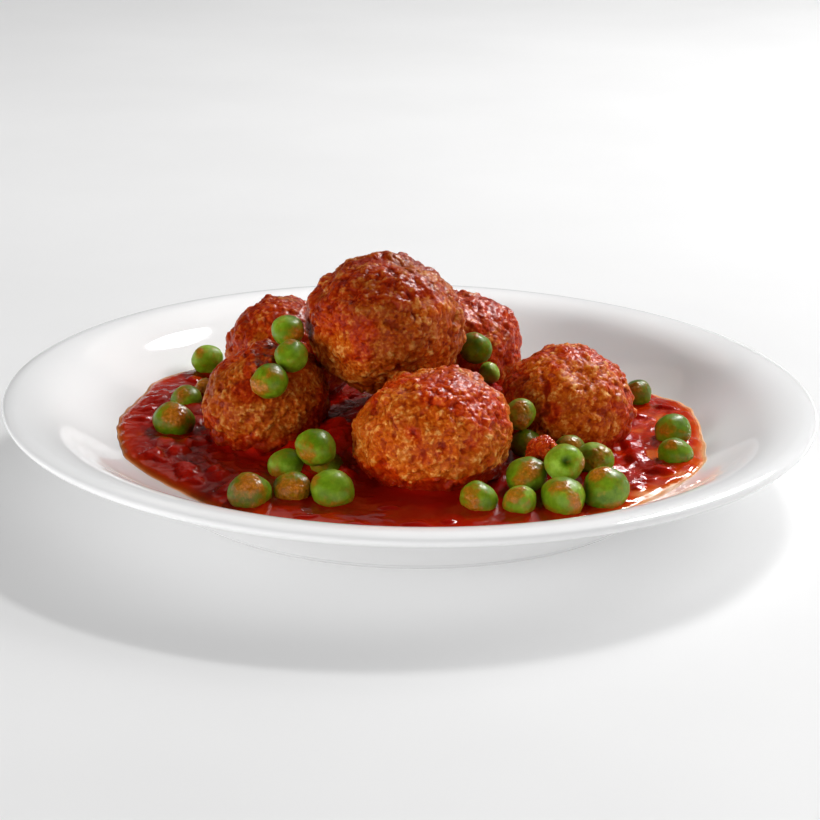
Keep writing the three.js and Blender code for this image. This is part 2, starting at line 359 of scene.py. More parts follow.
def sauce_look():
    """Tomato sauce: deep red where it is thick, orange where it thins out over white."""
    look = Look("sauce")
    depth = look.attribute("depth")
    pulp = look.attribute("pulp")
    deep = look.ramp(look.math("DIVIDE", depth, DEEPEST_SAUCE), [
        (0.0, srgb(244, 216, 190)),
        (0.01, srgb(238, 166, 106)),
        (0.03, srgb(230, 134, 66)),
        (0.07, srgb(216, 104, 40)),
        (0.118, srgb(210, 86, 22)),
        (0.196, srgb(204, 60, 6)),
        (0.3, srgb(186, 36, 0)),
        (0.5, srgb(162, 15, 1)),
        (0.8, srgb(146, 12, 3)),
    ])
    mottle = look.noise(3.2, detail=4, roughness=0.65)
    colour = look.mix(look.between(mottle, 0.5, 0.75, 0.0, 0.3), deep, srgb(186, 34, 2))
    tomato = look.mix(look.between(depth, 0.8, 3.0), srgb(212, 64, 10), srgb(186, 22, 0))
    colour = look.mix(look.between(pulp, 0.2, 0.95, 0.0, 0.8), colour, tomato)
    look.set("Base Color", colour)
    wet = look.between(look.noise(2.0), 0.3, 0.7, 0.07, 0.16)
    look.set("Roughness", look.math("ADD", wet, look.between(depth, 0.0, 0.5, 0.3, 0.0)))
    look.set("Specular IOR Level", 0.42)
    look.set("Subsurface Weight", 0.05)
    look.set("Subsurface Radius", (1.0, 0.2, 0.05))
    look.set("Subsurface Scale", 1.0 * MM)
    fine = look.math("MULTIPLY", look.noise(0.9, detail=3, roughness=0.6), look.attribute("lumpy"))
    look.bump([look.noise(1.3, detail=2, roughness=0.5), 0.045], [fine, 0.2])
    return look.material


def pea_look():
    """Skin of a cooked pea, lighter in places, with smears of sauce, and painted shade in a dimple."""
    look = Look("pea")
    smear = look.attribute("smear")
    tone_and_painted_light = look.attribute("tone_and_painted_light")
    mottle = look.noise(1.6, detail=5, roughness=0.65)
    # tone holds each pea's own lightness, with painted shade in a dimple and painted light round it.
    picked = look.weighted((tone_and_painted_light, 0.55), (mottle, 0.65))
    skin = look.ramp(picked, [
        (0.2, srgb(50, 76, 0)),
        (0.5, srgb(84, 116, 2)),
        (0.75, srgb(116, 150, 22)),
        (1.0, srgb(158, 192, 66)),
    ])
    grit = look.noise(0.7, detail=5, roughness=0.7)
    sauce = look.ramp(grit, [
        (0.3, srgb(150, 54, 0)),
        (0.5, srgb(182, 90, 8)),
        (0.75, srgb(218, 148, 52)),
    ])
    ragged = look.math("ADD", smear, look.between(grit, 0.3, 0.7, -0.3, 0.3))
    thin = look.mix(look.between(smear, 0.0, 0.6, 0.0, 0.8), skin, srgb(140, 100, 6))
    look.set("Base Color", look.mix(look.between(ragged, 0.1, 1.3, 0.0, 0.9), thin, sauce))
    look.set("Roughness", look.between(smear, 0.2, 0.8, 0.42, 0.34))
    look.set("Specular IOR Level", 0.4)
    look.set("Coat Weight", look.between(smear, 0.2, 0.8, 0.14, 0.35))
    look.set("Coat Roughness", 0.15)
    look.set("Subsurface Weight", 0.12)
    look.set("Subsurface Radius", (0.6, 1.0, 0.05))
    look.set("Subsurface Scale", 1.4 * MM)
    grains = look.math("MULTIPLY", look.cells(0.7), smear)
    look.bump([look.noise(1.0, detail=3, roughness=0.55), 0.07], [grains, -0.14])
    return look.material


def tomato_look():
    """Soft tomato flesh: red in its hollows, orange on its clumps, and wet."""
    look = Look("tomato")
    pulp = look.attribute("pulp")
    grain = look.noise(0.6, detail=4, roughness=0.65)
    picked = look.weighted((pulp, 0.45), (grain, 0.6))
    look.set("Base Color", look.ramp(picked, [
        (0.25, srgb(140, 20, 2)),
        (0.5, srgb(188, 52, 6)),
        (0.75, srgb(214, 92, 20)),
        (1.0, srgb(232, 146, 62)),
    ]))
    look.set("Roughness", look.between(grain, 0.3, 0.7, 0.12, 0.3))
    look.set("Specular IOR Level", 0.5)
    look.set("Subsurface Weight", 0.1)
    look.set("Subsurface Radius", (1.0, 0.3, 0.08))
    look.set("Subsurface Scale", 1.0 * MM)
    look.bump([grain, 0.1])
    return look.material


# ---------------------------------------------------------------------------
# Patterns, all in mm
# ---------------------------------------------------------------------------
LATTICE = np.array([73856093, 19349663, 83492791])
HASH_BITS = 0x7FFFFFFF
SEED_SHIFT = np.array((17.3, 5.9, 11.1))  # moves a pattern on for each seed
RIDGE_NARROWNESS = 2.4
BLUNT = 0.7  # the power that makes the tops of grains blunt


def lattice_random(cell, seed):
    """Numbers from 0 to 1, always the same for a whole-number place and a seed."""
    mixed = ((cell * LATTICE).sum(axis=-1) + seed * 62089911) & HASH_BITS
    mixed = ((mixed ^ (mixed >> 13)) * 1274126177) & HASH_BITS
    mixed = ((mixed ^ (mixed >> 16)) * 1911520717) & HASH_BITS
    return (mixed ^ (mixed >> 15)) / HASH_BITS


def cells(points, size, seed):
    """Distance to the nearest of points strewn about size apart, in sizes, and a number
    from 0 to 1 that belongs to it."""
    scaled = points / size
    home = np.floor(scaled).astype(np.int64)
    nearest = np.full(len(points), np.inf)
    mark = np.zeros(len(points))
    for step in itertools.product((-1, 0, 1), repeat=3):
        cell = home + step
        offset = np.stack([lattice_random(cell, seed + axis) for axis in range(3)], axis=-1)
        away = np.linalg.norm(scaled - cell - offset, axis=1)
        closer = away < nearest
        mark = np.where(closer, lattice_random(cell, seed + 3), mark)
        nearest = np.where(closer, away, nearest)
    return nearest, mark


def ripple(points, size, seed):
    """Smooth noise from about -1 to 1 whose swells are about size apart."""
    shifted = points / size + SEED_SHIFT * seed
    return np.array([noise.noise(place) for place in shifted.tolist()])


def ripples(points, rows):
    """The sum of ripples given as [amount, size, seed]."""
    return sum(amount * ripple(points, size, seed) for amount, size, seed in rows)


def warp(points, size, amount, seed):
    """points moved to and fro by up to about amount, so that a pattern loses its regularity."""
    moves = np.stack([ripple(points, size, seed + 0.31 * axis) for axis in (1, 2, 3)], axis=1)
    return points + amount * moves


def grains(points, size, narrow, bend, seed):
    """Rounded grains strewn about size apart, bent by warp(*bend): how high each place is
    on its grain, from 0 to 1, and a number from 0 to 1 for each grain."""
    near, mark = cells(warp(points, *bend), size, seed)
    return np.clip(1 - narrow * near**2, 0, 1), mark


def ridges(points, size, seed):
    """Narrow winding ridges from 0 to 1, about size apart."""
    return np.clip(1 - RIDGE_NARROWNESS * np.abs(ripple(points, size, seed)), 0, 1) ** 2


def smoothstep(low, high, value):
    share = np.clip((value - low) / (high - low), 0, 1)
    return share * share * (3 - 2 * share)


def patches(directions, spots):
    """Sum of round soft-edged patches: [right, up, width in degrees, amount]."""
    total = np.zeros(len(directions))
    for right, up, width, amount in spots:
        middle = np.array(facing(right, up))
        away = np.degrees(np.arccos(np.clip(directions @ middle, -1, 1)))
        total += amount * np.exp(-((away / width) ** 2))
    return total


# ---------------------------------------------------------------------------
# Meshes
# ---------------------------------------------------------------------------
def read(mesh):
    values = np.empty(len(mesh.vertices) * 3)
    mesh.vertices.foreach_get("co", values)
    return values.reshape(-1, 3)


def write(mesh, points):
    mesh.vertices.foreach_set("co", (points * MM).ravel())
    mesh.update()


def note(mesh, name, values):
    """Keeps one number for each vertex, for the material to read."""
    mesh.attributes.new(name, "FLOAT", "POINT").data.foreach_set("value", values.astype(np.float32))


def piece(mesh, materials, slot, *nodes):
    """Puts a finished mesh in the scene in place of the solid that it dresses."""
    shown = bpy.data.objects.new(mesh.name, mesh)
    bpy.context.collection.objects.link(shown)
    for material in materials:
        mesh.materials.append(material)
    mesh.polygons.foreach_set("use_smooth", [True] * len(mesh.polygons))
    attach(shown, "root")
    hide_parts(*nodes)


@functools.cache
def unit_sphere(cuts):
    """A sphere of radius 1 whose 20 faces are each cut into cuts x cuts triangles."""
    bm = bmesh.new()
    bmesh.ops.create_icosphere(bm, subdivisions=1, radius=1)
    bmesh.ops.subdivide_edges(bm, edges=bm.edges, cuts=cuts - 1, use_grid_fill=True)
    for vertex in bm.verts:
        vertex.co.normalize()
    mesh = bpy.data.meshes.new(f"unit_sphere_{cuts}")
    bm.to_mesh(mesh)
    bm.free()
    return mesh


def corners(node):
    """The places of a solid's corners, in mm."""
    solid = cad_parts[node]
    turn = np.array(solid.matrix_world.to_3x3())
    return (read(solid.data) @ turn.T + np.array(solid.matrix_world.translation)) / MM


def middle_and_half(node):
    low, high = (np.array(corner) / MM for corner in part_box(node))
    return (low + high) / 2, (high - low) / 2


# ---------------------------------------------------------------------------
# Plate
# ---------------------------------------------------------------------------
PLATE_SECTORS = 240
FOOT_RADIUS = 66.5
FOOT_FLAT = (60.5, 65.5)
FOOT_INNER = 59.0
FOOT_CHAMFER = 0.9
UNDERSIDE_Z = 1.2
UNDERSIDE_BEND = 0.15  # the underside's drop where it meets the foot
FLOOR_Z = 4.0
FLOOR_RADIUS = 45.0
STEEPEST_RADIUS = 89.5
LIP_RADIUS = 102.5
LIP_Z = 23.7
EDGE_RADIUS = 1.2
EDGE_Z = 22.05
EDGE_TOP_ANGLE = 70.0
FOOT_FLARE = (6.0, 3.6)
LIP_FLARE = (10.0, 1.0)
# How many points the outline has on each stretch:
FLAT_POINTS = 8
OUTSIDE_POINTS = 28
EDGE_POINTS = 12
TOP_POINTS = 40
ON_TABLE = 1e-9  # metres: what is lower than this touches the table


def plate_top(radius):
    """Height of the plate's upper surface: level, a bend up, then a bend over to the lip."""
    slope = 2 * (LIP_Z - FLOOR_Z) / (LIP_RADIUS - FLOOR_RADIUS)
    rising = np.clip(radius, FLOOR_RADIUS, STEEPEST_RADIUS) - FLOOR_RADIUS
    bending = np.clip(radius, STEEPEST_RADIUS, LIP_RADIUS) - STEEPEST_RADIUS
    rise = slope * rising**2 / (2 * (STEEPEST_RADIUS - FLOOR_RADIUS))
    return FLOOR_Z + rise + slope * bending * (1 - bending / (2 * (LIP_RADIUS - STEEPEST_RADIUS)))


def plate_outline():
    """(radius, height) from the middle of the underside round the edge to the middle of the top."""
    half_width = CAD_BOX[1][0] / MM
    edge_middle = half_width - EDGE_RADIUS
    points = [(radius, UNDERSIDE_Z) for radius in np.linspace(0, FOOT_INNER - 1, FLAT_POINTS)]
    points += [(FOOT_INNER, UNDERSIDE_Z - UNDERSIDE_BEND), (FOOT_FLAT[0], 0.0), (FOOT_FLAT[1], 0.0)]
    start = np.array((FOOT_RADIUS, FOOT_CHAMFER))
    pull = np.array((FOOT_RADIUS + FOOT_FLARE[0], FOOT_FLARE[1]))
    end = np.array((edge_middle, EDGE_Z - EDGE_RADIUS))
    push = end - np.array(LIP_FLARE)
    for t in np.linspace(0, 1, OUTSIDE_POINTS):
        rest = 1 - t
        near_ends = rest**3 * start + t**3 * end
        points.append(near_ends + 3 * t * rest**2 * pull + 3 * t**2 * rest * push)
    for degrees in np.linspace(-90, EDGE_TOP_ANGLE, EDGE_POINTS)[1:]:
        turn = math.radians(degrees)
        out, up = EDGE_RADIUS * math.cos(turn), EDGE_RADIUS * math.sin(turn)
        points.append((edge_middle + out, EDGE_Z + up))
    points += [(radius, plate_top(radius)) for radius in np.linspace(LIP_RADIUS, FLOOR_RADIUS, TOP_POINTS)]
    points += [(radius, FLOOR_Z) for radius in np.linspace(FLOOR_RADIUS, 0, FLAT_POINTS)[1:]]
    return [(float(radius), float(height)) for radius, height in points]


def make_plate():
    bm = bmesh.new()
    rings = []
    for radius, height in plate_outline():
        if radius == 0:
            rings.append([bm.verts.new((0, 0, height * MM))])
            continue
        turns = [2 * math.pi * sector / PLATE_SECTORS for sector in range(PLATE_SECTORS)]
        places = [(radius * math.cos(turn), radius * math.sin(turn), height) for turn in turns]
        rings.append([bm.verts.new(Vector(place) * MM) for place in places])
    for lower, upper in zip(rings, rings[1:]):
        bare = max(abs(v.co.z) for v in lower + upper) < ON_TABLE
        for sector in range(PLATE_SECTORS):
            following = (sector + 1) % PLATE_SECTORS
            if len(lower) == 1:
                face = bm.faces.new((lower[0], upper[following], upper[sector]))
            elif len(upper) == 1:
                face = bm.faces.new((lower[sector], lower[following], upper[0]))
            else:
                face = bm.faces.new((lower[sector], lower[following], upper[following], upper[sector]))
            face.material_index = int(bare)
    mesh = bpy.data.meshes.new("plate_glazed")
    bm.to_mesh(mesh)
    bm.free()
    piece(mesh, [glazed_ceramic(), unglazed_ceramic()], "plate", "plate")


# ---------------------------------------------------------------------------
# Meatballs
# ---------------------------------------------------------------------------
# cuts sets how fine the surface is, tone how light the ball is, as painted light and shade,
# and film how much sauce is on it. spots are places with more (+) or less (-) sauce, thick those
# where it lies thick, and pale the patches of painted light (+) and painted shade (-): [right, up,
# width in degrees, amount].
MEATBALLS = {
    "meatball_top": {
        "cuts": 80, "seed": 1, "tone_and_painted_light": 0.15, "film": 0.06,
        "spots": [
            [-0.27, 0.75, 25, 0.1], [-0.65, 0.12, 18, 0.25], [0.12, 0.6, 18, 0.05], [-0.3, -0.45, 12, 0.25],
            [0.0, 0.05, 16, -0.4], [-0.33, 0.2, 10, -0.3], [-0.58, -0.2, 12, -0.3], [-0.25, -0.75, 18, -0.4],
            [0.25, -0.5, 18, -0.3], [0.38, 0.83, 12, -0.3], [0.85, 0.1, 16, -0.3],
        ],
        "painted_light_spots": [[-0.5, -0.5, 30, 1.0], [0.8, 0.1, 24, 1.0], [0.0, -0.4, 24, -0.4]],
    },
    "meatball_front": {
        "cuts": 80, "seed": 2, "tone_and_painted_light": 1.0, "film": 0.04,
        "spots": [
            [0.2, 0.68, 22, 0.4], [0.65, 0.42, 20, 0.35], [-0.2, -0.3, 12, 0.25], [0.8, 0.0, 15, -0.1],
            [-0.06, 0.22, 16, -0.35], [-0.25, -0.7, 24, -0.45], [0.25, 0.05, 14, -0.2],
            [0.6, -0.63, 18, -0.3], [-0.52, 0.3, 14, -0.45], [-0.84, -0.3, 12, -0.35],
        ],
    },
    "meatball_left": {
        "cuts": 64, "seed": 3, "tone_and_painted_light": 0.35, "film": 0.08,
        "spots": [
            [0.0, 0.9, 20, 0.3], [-0.4, 0.15, 12, 0.2], [0.55, -0.62, 14, 0.4], [-0.83, -0.4, 14, 0.4],
            [0.18, -0.25, 24, -0.5], [-0.4, -0.25, 18, -0.3], [-0.53, 0.55, 16, -0.3], [0.64, -0.1, 12, -0.3],
            [0.85, -0.3, 16, 0.8],
        ],
        "thick": [[0.85, -0.35, 18, 1.0]],
    },
    "meatball_right": {
        "cuts": 64, "seed": 4, "tone_and_painted_light": 1.1, "film": 0.04,
        "spots": [
            [-0.1, 0.8, 24, 0.3], [0.5, 0.65, 20, 0.3], [0.77, -0.12, 15, 0.25], [-0.27, -0.05, 10, 0.2],
            [-0.05, 0.18, 18, -0.35], [0.25, -0.28, 20, -0.35], [-0.5, 0.57, 14, -0.2],
            [0.6, -0.35, 10, -0.3],
        ],
    },
    "meatball_back_left": {
        "cuts": 56, "seed": 5, "tone_and_painted_light": 0.35, "film": 0.3,
        "spots": [[0.4, 0.4, 22, 0.5], [-0.4, -0.1, 20, -0.2]],
    },
    "meatball_back_right": {
        "cuts": 56, "seed": 6, "tone_and_painted_light": 0.7, "film": 0.2,
        "spots": [[0.0, 0.6, 30, 0.3]],
    },
}
FORM_LEVELS = 3
WELD = 1e-6  # metres
BALLS_APART = 100.0  # how far the patterns of one ball are from those of the next
# Ripples are given as [amount, size, seed], here and below.
FILM_START = 0.42
FILM_RIPPLES = [[0.55, 11.0, 1], [0.3, 4.5, 2]]
FILM_ON_TOP = 0.12
FILM_EDGE = (0.3, 0.85)
SOAKED_HEIGHTS = (11.8, 18.0)
SOAKED_RIPPLES = [[3.0, 6.0, 3]]
SOAKED_FILM = 1.2
LUMP_RIPPLES = [[0.75, 7.0, 7], [0.5, 3.6, 8], [0.22, 1.8, 9]]
# Grains are given as (size, how narrow each is, the warp that bends them).
CHUNKS = (2.4, 1.3, (3.0, 1.0, 12))
COARSE_GRAINS = (1.2, 1.1, (2.8, 0.8, 4))
FINE_GRAINS = (0.65, 1.2, (1.3, 0.3, 5))
CHUNK_HEIGHT = 0.7
COARSE_HEIGHT = 0.27
FINE_HEIGHT = 0.26
CHUNK_MARKS = (0.45, 0.85)  # crumbs with a lower mark are left out, and the rest grow with it
COARSE_LOWEST = 0.3  # the lowest grain, as a share of the highest
FINE_LOWEST = 0.35
GRIT_RIPPLES = [[0.1, 0.9, 10]]
ROUGH_RIPPLES = [[0.8, 5.5, 14]]
ROUGH_RANGE = (0.3, 1.7)
PIT_RIPPLES = [[1.0, 2.9, 6]]
PIT_EDGE = (0.3, 0.62)
PIT_DEPTH = 0.4
PASTE_HEIGHT = 0.15
PASTE_RIPPLES = [[0.35, 2.3, 11]]
PASTE_FILLS = 0.12  # how much of the grit the paste levels out
BALL_SUNK = 0.55  # taken off everywhere, so that the relief averages out
TONE_RIPPLES = [[0.5, 9.0, 13]]
# What the material is told of each grain's colour, and of the height of each place, from which it paints
# shade in the low places.
COARSE_TINT = 0.55
FINE_TINT = 0.45
GRIT_SHOWN = 1.65
CHUNKS_SHOWN = 0.35
PITS_SHOWN = 0.5
HEIGHT_START = 0.05


def smoothed(node):
    """The node's solid with its facets smoothed away, to cast rays at."""
    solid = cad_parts[node]
    bm = bmesh.new()
    bm.from_mesh(solid.data)
    bmesh.ops.transform(bm, matrix=solid.matrix_world, verts=bm.verts)
    bmesh.ops.remove_doubles(bm, verts=bm.verts, dist=WELD)
    mesh = bpy.data.meshes.new("smoothed")
    bm.to_mesh(mesh)
    bm.free()
    stand_in = bpy.data.objects.new("smoothed", mesh)
    bpy.context.collection.objects.link(stand_in)
    rounding = stand_in.modifiers.new("rounding", "SUBSURF")
    rounding.levels = FORM_LEVELS
    bpy.context.view_layer.update()
    tree = BVHTree.FromObject(stand_in, bpy.context.evaluated_depsgraph_get())
    bpy.data.objects.remove(stand_in)
    bpy.data.meshes.remove(mesh)
    return tree


def reach_of(tree, middle, directions):
    """How far the surface is from the middle in each direction, in mm."""
    start = Vector(middle * MM)
    far = [tree.ray_cast(start, Vector(direction))[3] for direction in directions]
    return np.array(far) / MM


def make_meatball(name, cuts, seed, tone_and_painted_light, film, spots, thick=(), painted_light_spots=()):
    middle, half = middle_and_half(name)
    mesh = unit_sphere(cuts).copy()
    mesh.name = name + "_browned"
    directions = read(mesh)
    reach = reach_of(smoothed(name), middle, directions)
    skin = directions * reach[:, None]
    where = skin + BALLS_APART * seed

    # Sauce lies as a film over part of the ball, and over all of it near the pool.
    height = middle[2] + skin[:, 2] + ripples(where, SOAKED_RIPPLES)
    soaked = 1 - smoothstep(*SOAKED_HEIGHTS, height)
    cover = FILM_START + film + ripples(where, FILM_RIPPLES) + FILM_ON_TOP * directions[:, 2]
    cover += patches(directions, spots) + SOAKED_FILM * soaked
    covered = smoothstep(*FILM_EDGE, cover)

    # Crumbs that stand out, and grains of minced meat in two sizes. Few are of full height.
    chunks, mark = grains(where, *CHUNKS, 10 * seed + 7)
    chunks *= smoothstep(*CHUNK_MARKS, mark)
    coarse, coarse_mark = grains(where, *COARSE_GRAINS, 10 * seed)
    coarse *= COARSE_LOWEST + (1 - COARSE_LOWEST) * coarse_mark**2
    fine, fine_mark = grains(where, *FINE_GRAINS, 10 * seed + 5)
    fine *= FINE_LOWEST + (1 - FINE_LOWEST) * fine_mark
    grit = COARSE_HEIGHT * coarse + FINE_HEIGHT * fine + ripples(where, GRIT_RIPPLES)
    rough = np.clip(1 + ripples(where, ROUGH_RIPPLES), *ROUGH_RANGE)

    # Larger lumps and pits, with sauce that fills the grit like paste.
    pits = smoothstep(*PIT_EDGE, ripples(where, PIT_RIPPLES))
    paste = covered * (PASTE_HEIGHT + ripples(where, PASTE_RIPPLES) - PASTE_FILLS * grit)
    relief = ripples(where, LUMP_RIPPLES) + CHUNK_HEIGHT * chunks + rough * grit
    relief += paste - PIT_DEPTH * pits - BALL_SUNK
    skin += directions * relief[:, None]

    # Nothing stands higher than the solid does.
    top = skin[:, 2].max()
    if top > half[2]:
        skin[:, 2] = np.where(skin[:, 2] > 0, skin[:, 2] * half[2] / top, skin[:, 2])
    write(mesh, middle + skin)
    note(mesh, "film", covered * (1 + soaked + patches(directions, thick)))
    note(mesh, "grain", COARSE_TINT * coarse_mark + FINE_TINT * fine_mark)
    # Painted light and shade: the ball's tone, patches lighter or darker where light falls on the ball or
    # misses it, and random tone.
    light = tone_and_painted_light + patches(directions, painted_light_spots) + ripples(where, TONE_RIPPLES)
    note(mesh, "tone_and_painted_light", np.clip(light, 0, 1))
    shown = GRIT_SHOWN * grit + CHUNKS_SHOWN * chunks - PITS_SHOWN * pits + HEIGHT_START
    note(mesh, "relief", np.clip(shown, 0, 1))
    piece(mesh, [meatball_material], "meatball", name)


# ---------------------------------------------------------------------------
# Peas
# ---------------------------------------------------------------------------
PEA_CUTS = 18
HIDDEN_PEA_CUTS = 12
PEA_COUNT = 35
FIRST_HIDDEN_PEA = 29
# Smears of sauce on the side that shows: [right, up, width in degrees, amount].
PEA_SMEARS = {
    "pea_01": [[-0.45, 0.3, 32, 0.5], [-0.2, -0.3, 20, 0.3]],
    "pea_02": [[-0.45, 0.35, 28, 0.5], [0.4, -0.2, 18, 0.2], [0.1, 0.7, 20, 0.3]],
    "pea_03": [[-0.5, 0.5, 18, 0.45], [-0.05, 0.5, 22, 0.55], [0.45, 0.0, 20, 0.5], [0.6, -0.35, 18, 0.45]],
    "pea_04": [[-0.45, 0.7, 25, 0.6], [0.0, 0.9, 18, 0.3]],
    "pea_05": [[0.15, 0.4, 34, 0.6], [-0.3, -0.1, 22, 0.4]],
    "pea_06": [[0.9, -0.1, 18, 0.5]],
    "pea_07": [[0.1, 0.3, 42, 0.55]],
    "pea_08": [[0.1, 0.45, 38, 0.5]],
    "pea_09": [[0.6, 0.1, 40, 0.6]],
    "pea_10": [[0.3, -0.3, 45, 0.45], [0.0, 0.6, 25, 0.4]],
    "pea_11": [[0.1, 0.55, 36, 0.7], [-0.25, 0.15, 25, 0.4]],
    "pea_12": [[0.1, 0.1, 60, 0.6]],
    "pea_13": [[-0.8, 0.45, 22, 0.4]],
    "pea_14": [[-0.4, -0.6, 35, 0.5]],
    "pea_15": [[-0.35, 0.1, 35, 0.3]],
    "pea_16": [[-0.5, -0.3, 36, 0.5]],
    "pea_17": [[-0.7, -0.4, 35, 0.55], [0.1, 0.4, 22, 0.35]],
    "pea_18": [[0.0, 0.95, 25, 0.35]],
    "pea_19": [[0.6, -0.3, 36, 0.6]],
    "pea_20": [[0.35, 0.5, 34, 0.65], [-0.1, 0.1, 30, 0.35]],
    "pea_21": [[-0.3, 0.5, 35, 0.5]],
    "pea_22": [[0.0, 0.0, 90, 0.9]],
    "pea_23": [[-0.4, 0.6, 22, 0.6]],
    "pea_24": [[-0.3, 0.3, 40, 0.45]],
    "pea_25": [[-0.35, 0.1, 30, 0.4]],
    "pea_26": [[-0.3, 0.6, 26, 0.5]],
    "pea_27": [[-0.1, 0.8, 22, 0.35]],
    "pea_28": [],
}
# Dimples in the skin: [right, up, width in degrees, depth].
PEA_DIMPLES = {
    "pea_04": [[0.0, -0.35, 20, 0.15]],
    "pea_06": [[0.0, 0.12, 15, 1.1], [0.05, 0.1, 30, 1.0], [0.0, 0.1, 46, -0.9]],
}
# Peas that are lighter (+) or darker (-) than their neighbours: their own colour, and on pea_28 painted light
# where it lies in shade.
PEA_TONES_AND_PAINTED_LIGHT = {
    "pea_03": 0.3, "pea_06": 0.5, "pea_13": 0.2, "pea_18": 0.2, "pea_28": 0.5,
    "pea_20": -0.3, "pea_24": -0.2,
}
PEAS_APART = 40.0
# The faint smear of a pea without a row above: [up, width in degrees, amount], and how far
# it may be to the right or left.
HIDDEN_SMEAR = [0.6, 35, 0.25]
HIDDEN_SMEAR_SHIFT = 0.2
SMEAR_STRENGTH = 1.35
SMEAR_RIPPLES = [[0.32, 3.2, 1], [0.3, 1.3, 2]]
SMEAR_EDGE = (-0.15, 1.05)
WET_HEIGHTS = (11.2, 12.4)
WET_RIPPLES = [[0.8, 3.0, 4]]
WET_SMEAR = 0.3
SKIN_RIPPLES = [[0.7, 6.5, 3], [0.16, 2.4, 5]]
SMEAR_GRAINS = (0.9, 1.3, (1.2, 0.4, 9))
SMEAR_HEIGHT = 0.2
SMEAR_GRAIN_HEIGHT = 0.4
SMEAR_RELIEF_RIPPLES = [[0.3, 1.6, 6]]
PEA_TONE_RIPPLES = [[0.45, 5.0, 7]]
PEA_TONE_RANGE = (-0.5, 1.2)
DARKEST_PEA = 0.25
LIGHTEST_PEA = 0.75
# Painted shade in a dimple, and painted light on the ring round it.
DIMPLE_PAINTED_SHADE = 1.2
RING_PAINTED_LIGHT = 0.8


def ellipsoid(node):
    """Middle of a pea's solid, and the matrix A with which d A d = 1 on its surface."""
    points = corners(node)
    middle = points.mean(axis=0)
    x, y, z = (points - middle).T
    terms = np.stack([x * x, y * y, z * z, 2 * x * y, 2 * x * z, 2 * y * z], axis=1)
    a, b, c, d, e, f = np.linalg.lstsq(terms, np.ones(len(points)), rcond=None)[0]
    return middle, np.array([[a, d, e], [d, b, f], [e, f, c]])


def make_pea(number):
    name = f"pea_{number:02d}"
    middle, shape = ellipsoid(name)
    mesh = unit_sphere(PEA_CUTS if number < FIRST_HIDDEN_PEA else HIDDEN_PEA_CUTS).copy()
    mesh.name = name + "_skin"
    directions = read(mesh)
    reach = 1 / np.sqrt(np.einsum("ij,jk,ik->i", directions, shape, directions))
    skin = directions * reach[:, None]
    where = skin + PEAS_APART * number

    # Smears of sauce, and a wet line where the pea stands in the pool.
    spots = PEA_SMEARS.get(name, [[HIDDEN_SMEAR_SHIFT * math.sin(number), *HIDDEN_SMEAR]])
    height = middle[2] + skin[:, 2] + ripples(where, WET_RIPPLES)
    cover = SMEAR_STRENGTH * patches(directions, spots) + ripples(where, SMEAR_RIPPLES)
    cover += WET_SMEAR * (1 - smoothstep(*WET_HEIGHTS, height))
    smear = smoothstep(*SMEAR_EDGE, cover)

    dimples = patches(directions, PEA_DIMPLES.get(name, []))
    crumbs, mark = grains(where, *SMEAR_GRAINS, number)
    smear_relief = SMEAR_HEIGHT + ripples(where, SMEAR_RELIEF_RIPPLES)
    smear_relief += SMEAR_GRAIN_HEIGHT * crumbs * mark
    relief = ripples(where, SKIN_RIPPLES) - dimples + smear * smear_relief
    write(mesh, middle + skin + directions * relief[:, None])
    note(mesh, "smear", smear)

    # Each pea has a lightness of its own, which on some peas is painted light. A dimple gets painted shade,
    # and the ring round it painted light.
    share = lattice_random(np.array([number, 3, 5]), 1)
    tone_and_painted_light = DARKEST_PEA + (LIGHTEST_PEA - DARKEST_PEA) * share + PEA_TONES_AND_PAINTED_LIGHT.get(name, 0)
    tone_and_painted_light = tone_and_painted_light + ripples(where, PEA_TONE_RIPPLES) - DIMPLE_PAINTED_SHADE * np.clip(dimples, 0, 1)
    tone_and_painted_light -= RING_PAINTED_LIGHT * np.clip(dimples, -1, 0)
    note(mesh, "tone_and_painted_light", np.clip(tone_and_painted_light, *PEA_TONE_RANGE))
    piece(mesh, [pea_material], "pea", name)


# ---------------------------------------------------------------------------
# Sauce
# ---------------------------------------------------------------------------
SAUCE_LEVEL = 11.2
SAUCE_RADIUS = 72.0
SAUCE_STRETCH = 4.0  # how much further it reaches to the sides, and less to front and back
SAUCE_LEAN = 1.5  # how much further it reaches to the back, and less to the front
SAUCE_EDGE = 0.9  # how high it stands over the plate along its outline
# Places where the outline bulges (+) or draws back (-): [degrees, width, reach].
SAUCE_LOBES = [
    [145, 16, 3.5],
    [-143, 13, -5],
    [17, 12, 2],
    [-20, 10, 2.5],
    [80, 18, 2],
]
# Mounds: [x, y, height above the level, spread].
SAUCE_MOUNDS = [
    [-5, 5, 8.2, 13],
    [19, 14, 8.6, 8],
    [-18, -14, 4.5, 8],
    [35, -23, 2.2, 9],
    [-57, 18, 1.6, 8],
]
